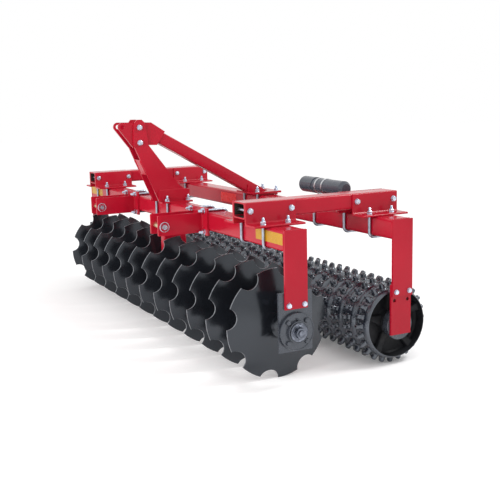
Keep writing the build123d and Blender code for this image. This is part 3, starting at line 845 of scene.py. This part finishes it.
def make_brace_tube():
    """Square tube from the mast's head down to its foot."""
    over = Vector((1, 0, 0)).cross(BRACE_RUN)
    section = rectangle(-BRACE_HALF, BRACE_HALF, -BRACE_HALF, BRACE_HALF, corner=0.008)
    upper = [BRACE_HEAD + Vector((p.x, 0, 0)) + over * p.y for p in section]
    lower = [point + BRACE_RUN * ((point.z - FOOT_Z) / -BRACE_RUN.z) for point in upper]
    bm = bmesh.new()
    skin(bm, [upper, lower])
    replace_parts(finish_piece("brace_tube", bm, ["frame_paint"]), "brace")


def make_brace_foot():
    """The foot's flange on its packing plate, with a gusset at each side of the tube."""
    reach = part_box("brace_angles")[1][0]
    front, back = -0.113, 0.095  # the flange, from the beam's middle
    packing_front, packing_back, packing_inset = -0.060, 0.075, 0.014
    flange = rectangle(-reach, reach, front, back, corner=0.006)
    packing_reach = reach - packing_inset
    packing = rectangle(-packing_reach, packing_reach, packing_front, packing_back, corner=0.004)
    slope = BRACE_RUN.z / BRACE_RUN.y
    upper_edge = BRACE_HALF / math.cos(math.atan2(-BRACE_RUN.z, BRACE_RUN.y))
    under, shoulder_drop = 0.004, 0.006
    toe, toe_height = front + 0.004, 0.050
    heel, peak, shoulder = 0.020, -0.020, -0.062  # the gusset's other corners, from the beam's middle

    def ridge(y):
        """Height just under the tube's upper edge, at a distance behind the beam's middle."""
        return BEAM_TOP + slope * (y - BRACE_BACK) + upper_edge - under

    gusset = rounded([
        (toe, FOOT_Z, 0), (heel, FOOT_Z, 0), (peak, ridge(peak), 0.010),
        (shoulder, ridge(shoulder) - shoulder_drop, 0.010), (toe, FOOT_Z + toe_height, 0.008),
    ])
    bm = bmesh.new()
    place = axes((0, REAR_Y, BEAM_TOP), (1, 0, 0), (0, 1, 0))
    slab(bm, flange, place, PACKING, PACKING + FOOT)
    slab(bm, packing, place, 0, PACKING)
    for side in SIDES:
        start, stop = sorted((side * BRACE_HALF, side * (BRACE_HALF + FLANGE)))
        slab(bm, gusset, axes((0, REAR_Y, 0), (0, 1, 0), (0, 0, 1)), start, stop)
    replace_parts(finish_piece("brace_foot", bm, ["frame_paint"]), "brace_angles")


# Fasteners
def u_bolt(bm, centre, span, legs, half, depth, seat):
    """A rod bent round a beam, from the beam's middle: span points across it and legs towards the nuts.

    The legs are half to each side, the rod turns at a depth behind the middle and the nuts stand at seat.
    """
    centre, span, legs = Vector(centre), Vector(span), Vector(legs)
    bottom = centre - legs * (depth - BEND)
    path = [centre - span * half + legs * seat]
    path += arc(bottom - span * (half - BEND), 180, 270, BEND, span, legs)
    path += arc(bottom + span * (half - BEND), 270, 360, BEND, span, legs)
    path.append(centre + span * half + legs * seat)
    tube(bm, path, [ROD] * len(path), 16, material=1)
    for reach in (-half, half):
        nut(bm, along(centre + span * reach + legs * (seat - 0.001), legs, span))


def through_bolt(bm, start, stop, radius=0.008, size=1.0):
    """A bolt with its head at start and its nut at stop."""
    start, stop = Vector(start), Vector(stop)
    axis = (stop - start).normalized()
    lathe(bm, along(start, axis), ((0, radius), ((stop - start).length, radius)), 16)
    bolt_head(bm, along(start, -axis), size)
    nut(bm, along(stop, axis), radius, tip=0.006)


def make_rail_bolts():
    """Bolts through the rails and the angles at their sides."""
    step = 0.113  # from the beam's middle, along the rail
    outer, inner = RAIL_X + RAIL_HALF + FLANGE, RAIL_X - RAIL_HALF - FLANGE
    z = (RAIL_LOW + RAIL_HIGH) / 2
    bm = bmesh.new()
    for beam in BEAMS:
        for y in (beam - step, beam + step):
            through_bolt(bm, (outer, y, z), (inner, y, z))
            through_bolt(bm, (-inner, y, z), (-outer, y, z))
    finish_piece("rail_bolts", bm, ["zinc"])


def make_beam_u_bolts():
    """Upright U-bolts round both beams, with their nuts on the flanges that they hold down."""
    rail_step, mast_step = 0.114, 0.090  # from the middle of the rail and of the mast
    seat = BEAM_TOP + FLANGE
    clamp_seat = BEAM_TOP + 0.002
    groups = {
        "rail_u_bolts": [
            (middle + step, y, seat) for y in BEAMS for middle in RAILS for step in (-rail_step, rail_step)
        ],
        "mast_u_bolts": [
            (x, y, level) for y, level in zip(BEAMS, (seat, FOOT_Z)) for x in (-mast_step, mast_step)
        ],
        "canister_u_bolt": [(mid("canister_clamps").x, REAR_Y, clamp_seat)],
    }
    for name, places in groups.items():
        bm = bmesh.new()
        for x, y, level in places:
            u_bolt(
                bm, (x, y, BEAM_Z), span=(0, 1, 0), legs=(0, 0, 1),
                half=BEAM_HALF + ROD, depth=BEAM_Z - BEAM_BOTTOM + ROD, seat=level - BEAM_Z,
            )
        finish_piece(name, bm, ["zinc", "zinc_rod"])


def make_clevis_u_bolts():
    """Level U-bolts round the front beam, with their nuts on the clevises' flanges."""
    step = 0.082  # from the clevis's middle
    bm = bmesh.new()
    for middle in HITCHES:
        for x in (middle - step, middle + step):
            u_bolt(
                bm, (x, FRONT_Y, BEAM_Z), span=(0, 0, -1), legs=(0, -1, 0),
                half=BEAM_Z - BEAM_BOTTOM + ROD, depth=BEAM_HALF + ROD, seat=BEAM_HALF + PLATE,
            )
    finish_piece("clevis_u_bolts", bm, ["zinc", "zinc_rod"])


def make_plate_bolts():
    """Bolts that hang the bearing plates and the roller plates on the end plates."""
    rows = (
        # middle, half of the spacing, height over the end plate's lower edge
        (FRONT_Y, 0.042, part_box("front_end_plates")[0][2] + 0.019),
        (REAR_Y, 0.040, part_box("rear_end_plates")[0][2] + 0.025),
    )
    bm = bmesh.new()
    for side in SIDES:
        for middle, half, z in rows:
            for y in (middle - half, middle + half):
                outer, inner = (side * END_FACE, y, z), (side * HUNG_FACE, y, z)
                through_bolt(bm, outer, inner, radius=0.0085, size=0.86)
    finish_piece("plate_bolts", bm, ["zinc"])


def make_mast_bolts():
    """Two bolts that clamp the top link's ears between the mast's plates."""
    behind, drops = 0.100, (0.005, 0.094)  # from the top link's bore
    y = TOP_LINK.y + behind
    bm = bmesh.new()
    for drop in drops:
        z = TOP_LINK.z - drop
        through_bolt(bm, (MAST_FACE, y, z), (-MAST_FACE, y, z), radius=0.0095, size=1.10)
    finish_piece("mast_bolts", bm, ["zinc"])


def bolt_circle(bm, place, radius, level, size):
    """Four bolt heads on a bearing's diagonals."""
    for k in range(4):
        t = math.radians(45 + 90 * k)
        offset = Matrix.Translation((radius * math.cos(t), radius * math.sin(t), level))
        bolt_head(bm, place @ offset, size)


def make_bearing_details():
    """Bolts, seal rings and grease nipples of the disc axle's end bearings, and bolts of the roller's."""
    face = 0.014  # of the housing's flange, from the beam's end
    seals = (
        # points round, base, top, radii from outside to inside
        (72, face, 0.016, (0.0905, 0.0895, 0.0865, 0.0860)),
        (56, 0.024, 0.0285, (0.0535, 0.0530, 0.0490, 0.0485)),
    )
    nipple = ((0, 0.005), (0.006, 0.005), (0.007, 0.0032), (0.012, 0.0032), (0.014, 0.002))
    nipple_reach = 0.060  # from the axle
    bm = bmesh.new()
    for side in SIDES:
        outward = along((side * BEAM_END, AXLE.y, AXLE.z), (side, 0, 0), (0, 1, 0))
        bolt_circle(bm, outward, radius=0.070, level=face, size=0.85)
        for count, base, top, radii in seals:
            lathe(bm, outward, list(zip((base, top, top, base), radii)), count, loop=True)
        lathe(bm, outward @ Matrix.Translation((0.0, nipple_reach, face)), nipple, 14)
    finish_piece("bearing_details", bm, ["bearing_enamel"])
    bm = bmesh.new()
    for side in SIDES:
        inward = along((side * HUNG_FACE, ROLLER.y, ROLLER.z), (-side, 0, 0), (0, 1, 0))
        bolt_circle(bm, inward, radius=0.064, level=0.040, size=0.6)
    finish_piece("roller_bearing_bolts", bm, ["bearing_enamel"])


def make_linch_pins():
    """A linch pin with its ring through the tail of each lower pin."""
    tail = CHEEK_GAP + PLATE + 0.019  # from the clevis's middle
    below = Vector((0, 0, 0.031))  # the shank's lower end, from the lower pin's middle
    shank = (
        # height, radius
        (0, 0.0030), (0.003, 0.0048), (0.045, 0.0048), (0.046, 0.0085), (0.056, 0.0085), (0.059, 0.0060),
    )
    ring, wire, ring_offset = 0.0255, 0.0022, Vector((0.004, 0, 0))
    bm = bmesh.new()
    for middle in HITCHES:
        centre = Vector((middle + tail, LOWER_PIN.y, LOWER_PIN.z))
        lathe(bm, along(centre - below, (0, 0, 1)), shank, 18)
        path = arc(centre + ring_offset, -90, 262, ring, (0, 1, 0), (0, 0, 1), 44)
        tube(bm, path, [wire] * len(path), 10)
    finish_piece("linch_pins", bm, ["zinc"])


def make_pin_sleeves():
    """A plated sleeve on each lower pin, between its cheeks."""
    reach = CHEEK_GAP - 0.0015
    inner, eased, outer, easing = 0.0138, 0.0150, 0.0158, 0.001
    profile = (
        (-reach, inner), (-reach, eased), (easing - reach, outer), (reach - easing, outer), (reach, eased),
        (reach, inner),
    )
    bm = bmesh.new()
    for middle in HITCHES:
        lathe(bm, along((middle, LOWER_PIN.y, LOWER_PIN.z), (1, 0, 0)), profile, 36, loop=True)
    finish_piece("pin_sleeves", bm, ["yellow_zinc"])


def make_axle_ends():
    """Faced nuts with a split pin on the disc axle's ends."""
    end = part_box("disc_axle")[1][0]
    seat, pin_x = end - 0.0285, end - 0.0040
    rim, collar = 0.0340, 0.004  # the washer's radius and thickness
    across, height = 0.0475, 0.0175  # the nut's
    face = ((0.0205, 0.0160), (0.0235, 0.0160), (0.0275, 0.0155), (0.0280, 0.0120), (0.0265, 0.0050))
    pin = ((0, 0.0018), (0.001, 0.0026), (0.041, 0.0026), (0.042, 0.0018))
    pin_half = 0.021
    bm = bmesh.new()
    for side in SIDES:
        place = along((side * seat, AXLE.y, AXLE.z), (side, 0, 0), (0, 1, 0))
        washer(bm, place, rim, collar)
        hexagon(bm, place, across, height, collar)
        lathe(bm, place, face, 24)
        lathe(bm, along((side * pin_x, AXLE.y, AXLE.z - pin_half), (0, 0, 1)), pin, 12)
    finish_piece("axle_end_nuts", bm, ["axle_steel"], "disc_gang")


# Trim
def make_canister_ribs():
    """Grip ribs round the cap's end and the moulded ring beside it."""
    low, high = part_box("canister_cap")
    centre = mid("canister_cap")
    radius = (high[1] - low[1]) / 2
    ribs, root = 16, radius - 0.007
    stations = (
        # along the cap, height over its surface, half width
        (0.0, -0.004, 0.0030), (0.006, -0.0005, 0.0042), (0.030, -0.0002, 0.0042), (0.044, -0.0030, 0.0022),
    )
    rib_start, ring_start = low[0] + 0.0115, high[0] - 0.013
    start = along((rib_start, centre.y, centre.z), (1, 0, 0))
    bm = bmesh.new()
    for i in range(ribs):
        place = start @ Matrix.Rotation(2 * math.pi * i / ribs, 4, "Z")
        rings = []
        for level, height, half in stations:
            top = radius + height
            corners = ((root, -half), (root, half), (top, 0.7 * half), (top, -0.7 * half))
            rings.append([place @ Vector((r, u, level)) for r, u in corners])
        skin(bm, rings)
    ring = (
        # along the cap, depth under its surface
        (0, 0.003), (0, 0.0004), (0.005, 0.0001), (0.010, 0.0004), (0.010, 0.003),
    )
    profile = [(level, radius - depth) for level, depth in ring]
    lathe(bm, along((ring_start, centre.y, centre.z), (1, 0, 0)), profile, 64, loop=True)
    finish_piece("canister_ribs", bm, ["canister_plastic"])


def make_films_and_reflection_patch():
    """Blank yellow films on the front beam's face, and a saturated red patch on the rear beam's face that
    paints a reflection.
    """
    films = (
        # name, finish, beam's middle, spans along X, low, high
        ("yellow_films", "yellow_film", FRONT_Y, ((1.199, 1.462), (-1.462, -1.199)), 0.685, 0.738),
        # The red patch is a painted reflection on the rear beam's face
        ("red_reflection_patch", "red_reflection_patch", REAR_Y, ((-0.458, -0.227),), 0.672, 0.736),
    )
    corner, thickness, bevel = 0.004, 0.0008, 0.0003
    for name, material, y, spans, low, high in films:
        place = axes((0, y - BEAM_HALF, 0), (1, 0, 0), (0, 0, 1))
        bm = bmesh.new()
        for start, stop in spans:
            slab(bm, rectangle(start, stop, low, high, corner), place, 0.0, thickness, bevel)
        finish_piece(name, bm, [material])


def weld(bm, start, stop, size=0.0045):
    """A rippled bead along a joint."""
    start, stop = Vector(start), Vector(stop)
    ripple, trough, tip = 0.004, 0.84, 0.5
    count = max(6, int((stop - start).length / ripple))
    points = [start.lerp(stop, i / count) for i in range(count + 1)]
    radii = [size * (1.0 if i % 2 else trough) for i in range(count + 1)]
    radii[0] = radii[-1] = size * tip
    tube(bm, points, radii, 8)


def make_welds():
    """Beads round the beams' ends and along the joints of hitch, mast, brace and hanger."""
    sunk = 0.0005  # how far a bead's middle lies inside a face
    inset = 0.012  # between a joint's end and its bead's
    flat_reach, upright_reach = BEAM_HALF - 0.010, BEAM_HALF * 0.985
    bm = bmesh.new()
    for y in BEAMS:
        for x in (-BEAM_END, BEAM_END):
            for z in (BEAM_BOTTOM, BEAM_TOP - 0.002):
                weld(bm, (x, y - flat_reach, z), (x, y + flat_reach, z))
            for edge in (-upright_reach, upright_reach):
                weld(bm, (x, y + edge, BEAM_BOTTOM + inset), (x, y + edge, BEAM_TOP - inset))
    low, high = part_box("clevis_cheeks")
    root, bottom, top = FRONT_Y - BEAM_HALF - PLATE, low[2] + 0.004, high[2] - 0.004
    for middle in HITCHES:
        for face in (-CHEEK_GAP - PLATE, -CHEEK_GAP, CHEEK_GAP, CHEEK_GAP + PLATE):
            weld(bm, (middle + face, root, bottom), (middle + face, root, top), 0.005)
    low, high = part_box("mast_angles")
    for x in (-MAST_FACE, MAST_FACE):
        weld(bm, (x, low[1] + inset, high[2]), (x, high[1] - inset, high[2]))
    low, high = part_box("mast_cross_plate")
    bottom, top = low[2] + 0.003, high[2] - 0.003
    for x in (low[0] + sunk, high[0] - sunk):
        weld(bm, (x, high[1] - PLATE, bottom), (x, low[1], top))
    reach, y, z = BRACE_HALF - 0.001, REAR_Y + 0.030, FOOT_Z + 0.001
    weld(bm, (-reach, y, z), (reach, y, z))
    low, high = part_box("middle_hanger")
    across, fore = 0.026, 0.058  # half of the beads' lengths at the hanger's ends and sides
    for y in (low[1] + sunk, high[1] - sunk):
        weld(bm, (-across, y, BEAM_BOTTOM), (across, y, BEAM_BOTTOM))
    for x in (low[0], high[0]):
        weld(bm, (x, FRONT_Y - fore, BEAM_BOTTOM), (x, FRONT_Y + fore, BEAM_BOTTOM))
    finish_piece("weld_beads", bm, ["frame_paint"])


# The whole scene
make_camera()
make_world()
make_lamps()
make_floor()
looks = make_materials()
dress_nodes()
make_spools(*make_discs())
make_roller()
make_rail_angles()
make_clevis_cheeks()
make_rail_hollows()
make_brace_tube()
make_brace_foot()
make_rail_bolts()
make_beam_u_bolts()
make_clevis_u_bolts()
make_plate_bolts()
make_mast_bolts()
make_bearing_details()
make_linch_pins()
make_pin_sleeves()
make_axle_ends()
make_canister_ribs()
make_films_and_reflection_patch()
make_welds()
